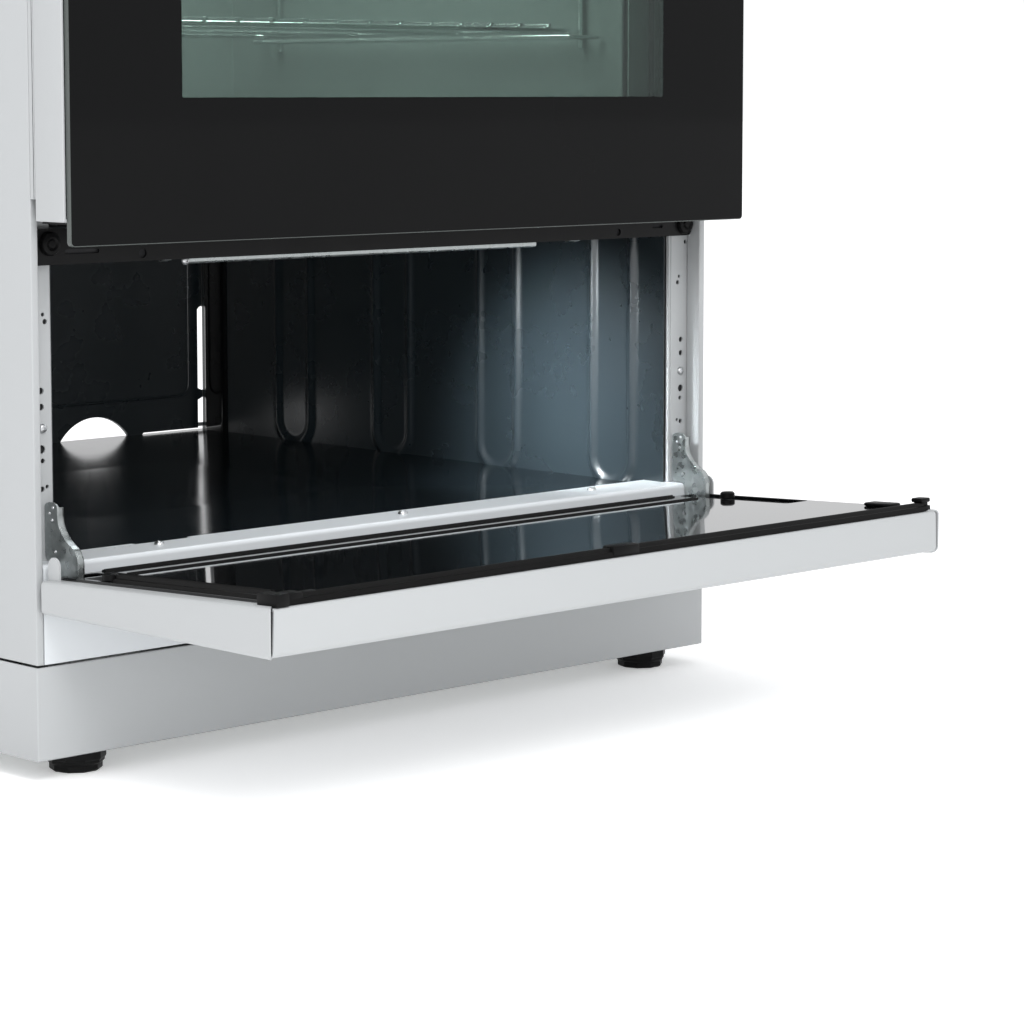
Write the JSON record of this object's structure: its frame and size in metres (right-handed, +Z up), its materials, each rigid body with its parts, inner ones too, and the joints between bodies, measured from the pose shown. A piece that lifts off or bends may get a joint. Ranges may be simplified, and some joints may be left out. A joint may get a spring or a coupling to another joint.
{
  "type": "gas range",
  "caption": "Freestanding gas range with a drop-down glass oven door over a low storage compartment whose front flap folds down flat.",
  "frame": {"origin": "on the floor, centre of the footprint with the storage flap open: mid-width, 172 mm behind the cabinet's front plane", "axes": "+X to the right seen from the front, +Y to the rear, +Z up"},
  "size_m": [0.6, 0.786, 0.945],
  "materials": {
    "white_paint": "gloss powder coat",
    "black_enamel": "gloss vitreous enamel",
    "grey_enamel": "semi-gloss oven enamel",
    "hob_enamel": "gloss vitreous enamel",
    "door_glass": "black printed tempered glass with a tinted window",
    "inner_glass": "clear tempered glass",
    "galvanised": "zinc plated pressed steel",
    "bare_steel": "plain steel",
    "chrome_wire": "bright plated wire",
    "satin_aluminium": "satin anodised",
    "cast_iron": "matt enamelled casting",
    "rubber_black": "matt",
    "knob_plastic": "satin moulded phenolic",
    "mineral_wool": "glass wool blanket"
  },
  "bodies": {
    "cabinet": {"side_panel_left": "white_paint", "side_panel_right": "white_paint", "back_panel": "white_paint", "plinth": "white_paint", "base_plate": "galvanised", "front_post_left": "white_paint", "front_post_right": "white_paint", "lower_front": "white_paint", "compartment_floor": "black_enamel", "compartment_wall_left": "black_enamel", "compartment_wall_right": "black_enamel", "oven_rail": "black_enamel", "oven_liner": "grey_enamel", "oven_insulation": "mineral_wool", "oven_front_frame": "grey_enamel", "oven_gasket": "rubber_black", "oven_floor_plate": "grey_enamel", "oven_burner": "bare_steel", "rack_guide_left": "chrome_wire", "rack_guide_right": "chrome_wire", "flap_arm_left": "galvanised", "flap_arm_right": "galvanised", "door_hinge_left": "galvanised", "door_hinge_right": "galvanised", "control_fascia": "white_paint", "gas_rail": "satin_aluminium", "hob_tray": "hob_enamel", "rear_riser": "white_paint", "burner_head_front_left": "satin_aluminium", "burner_head_front_right": "satin_aluminium", "burner_head_rear_left": "satin_aluminium", "burner_head_rear_right": "satin_aluminium"},
    "oven_door": {"door_outer_glass": "door_glass", "door_frame": "white_paint", "door_inner_panel": "grey_enamel", "door_inner_glass": "inner_glass", "door_handle": "satin_aluminium"},
    "storage_flap": {"flap_pan": "white_paint", "flap_panel": "black_enamel"},
    "oven_rack": {"oven_rack": "chrome_wire"},
    "stem_1": {"knob_stem_1": "bare_steel"},
    "knob_1": {"knob_1": "knob_plastic"},
    "stem_2": {"knob_stem_2": "bare_steel"},
    "knob_2": {"knob_2": "knob_plastic"},
    "stem_3": {"knob_stem_3": "bare_steel"},
    "knob_3": {"knob_3": "knob_plastic"},
    "stem_4": {"knob_stem_4": "bare_steel"},
    "knob_4": {"knob_4": "knob_plastic"},
    "stem_5": {"knob_stem_5": "bare_steel"},
    "knob_5": {"knob_5": "knob_plastic"},
    "grate_left": {"grate_left": "cast_iron"},
    "grate_right": {"grate_right": "cast_iron"},
    "burner_cap_front_left": {"burner_cap_front_left": "cast_iron"},
    "burner_cap_front_right": {"burner_cap_front_right": "cast_iron"},
    "burner_cap_rear_left": {"burner_cap_rear_left": "cast_iron"},
    "burner_cap_rear_right": {"burner_cap_rear_right": "cast_iron"},
    "foot_front_left": {"foot_front_left": "rubber_black"},
    "foot_front_right": {"foot_front_right": "rubber_black"},
    "foot_rear_left": {"foot_rear_left": "rubber_black"},
    "foot_rear_right": {"foot_rear_right": "rubber_black"}
  },
  "joints": [
    {"name": "oven_door_hinge", "type": "hinge", "parent": "cabinet", "child": "oven_door", "pos_m": [0, -0.2, 0.3576], "axis": [1, 0, 0], "range_deg": [0, 90], "stiffness_Nm_per_rad": 4, "springref_deg": -34.38},
    {"name": "storage_flap_hinge", "type": "hinge", "parent": "cabinet", "child": "storage_flap", "pos_m": [0, -0.1914, 0.1255], "axis": [-1, 0, 0], "range_deg": [0, 90]},
    {"name": "oven_rack_slide", "type": "slide", "parent": "cabinet", "child": "oven_rack", "axis": [0, -1, 0], "range_m": [0, 0.2]},
    {"name": "knob_1_push", "type": "slide", "parent": "cabinet", "child": "stem_1", "axis": [0, 1, 0], "range_m": [0, 0.003], "stiffness_N_per_m": 400},
    {"name": "knob_1_turn", "type": "hinge", "parent": "stem_1", "child": "knob_1", "pos_m": [-0.22, -0.2106, 0.818], "axis": [0, -1, 0], "range_deg": [0, 210]},
    {"name": "knob_2_push", "type": "slide", "parent": "cabinet", "child": "stem_2", "axis": [0, 1, 0], "range_m": [0, 0.003], "stiffness_N_per_m": 400},
    {"name": "knob_2_turn", "type": "hinge", "parent": "stem_2", "child": "knob_2", "pos_m": [-0.125, -0.2106, 0.818], "axis": [0, -1, 0], "range_deg": [0, 210]},
    {"name": "knob_3_push", "type": "slide", "parent": "cabinet", "child": "stem_3", "axis": [0, 1, 0], "range_m": [0, 0.003], "stiffness_N_per_m": 400},
    {"name": "knob_3_turn", "type": "hinge", "parent": "stem_3", "child": "knob_3", "pos_m": [0, -0.2106, 0.818], "axis": [0, -1, 0], "range_deg": [0, 240]},
    {"name": "knob_4_push", "type": "slide", "parent": "cabinet", "child": "stem_4", "axis": [0, 1, 0], "range_m": [0, 0.003], "stiffness_N_per_m": 400},
    {"name": "knob_4_turn", "type": "hinge", "parent": "stem_4", "child": "knob_4", "pos_m": [0.125, -0.2106, 0.818], "axis": [0, -1, 0], "range_deg": [0, 210]},
    {"name": "knob_5_push", "type": "slide", "parent": "cabinet", "child": "stem_5", "axis": [0, 1, 0], "range_m": [0, 0.003], "stiffness_N_per_m": 400},
    {"name": "knob_5_turn", "type": "hinge", "parent": "stem_5", "child": "knob_5", "pos_m": [0.22, -0.2106, 0.818], "axis": [0, -1, 0], "range_deg": [0, 210]},
    {"name": "grate_left_lift", "type": "slide", "parent": "cabinet", "child": "grate_left", "axis": [0, 0, 1], "range_m": [0, 0.06]},
    {"name": "grate_right_lift", "type": "slide", "parent": "cabinet", "child": "grate_right", "axis": [0, 0, 1], "range_m": [0, 0.06]},
    {"name": "burner_cap_front_left_lift", "type": "slide", "parent": "cabinet", "child": "burner_cap_front_left", "axis": [0, 0, 1], "range_m": [0, 0.03]},
    {"name": "burner_cap_front_right_lift", "type": "slide", "parent": "cabinet", "child": "burner_cap_front_right", "axis": [0, 0, 1], "range_m": [0, 0.03]},
    {"name": "burner_cap_rear_left_lift", "type": "slide", "parent": "cabinet", "child": "burner_cap_rear_left", "axis": [0, 0, 1], "range_m": [0, 0.03]},
    {"name": "burner_cap_rear_right_lift", "type": "slide", "parent": "cabinet", "child": "burner_cap_rear_right", "axis": [0, 0, 1], "range_m": [0, 0.03]},
    {"name": "foot_front_left_screw", "type": "hinge", "parent": "cabinet", "child": "foot_front_left", "pos_m": [-0.256, -0.15, 0], "axis": [0, 0, 1], "continuous": true},
    {"name": "foot_front_right_screw", "type": "hinge", "parent": "cabinet", "child": "foot_front_right", "pos_m": [0.256, -0.15, 0], "axis": [0, 0, 1], "continuous": true},
    {"name": "foot_rear_left_screw", "type": "hinge", "parent": "cabinet", "child": "foot_rear_left", "pos_m": [-0.256, 0.371, 0], "axis": [0, 0, 1], "continuous": true},
    {"name": "foot_rear_right_screw", "type": "hinge", "parent": "cabinet", "child": "foot_rear_right", "pos_m": [0.256, 0.371, 0], "axis": [0, 0, 1], "continuous": true}
  ],
  "couplings": [
    {"joint": "oven_rack_slide", "follows": "oven_door_hinge", "m_per_rad": 0.127},
    {"joint": "burner_cap_front_left_lift", "follows": "grate_left_lift", "ratio": 0.5},
    {"joint": "burner_cap_front_right_lift", "follows": "grate_right_lift", "ratio": 0.5},
    {"joint": "burner_cap_rear_left_lift", "follows": "grate_left_lift", "ratio": 0.5},
    {"joint": "burner_cap_rear_right_lift", "follows": "grate_right_lift", "ratio": 0.5}
  ]
}
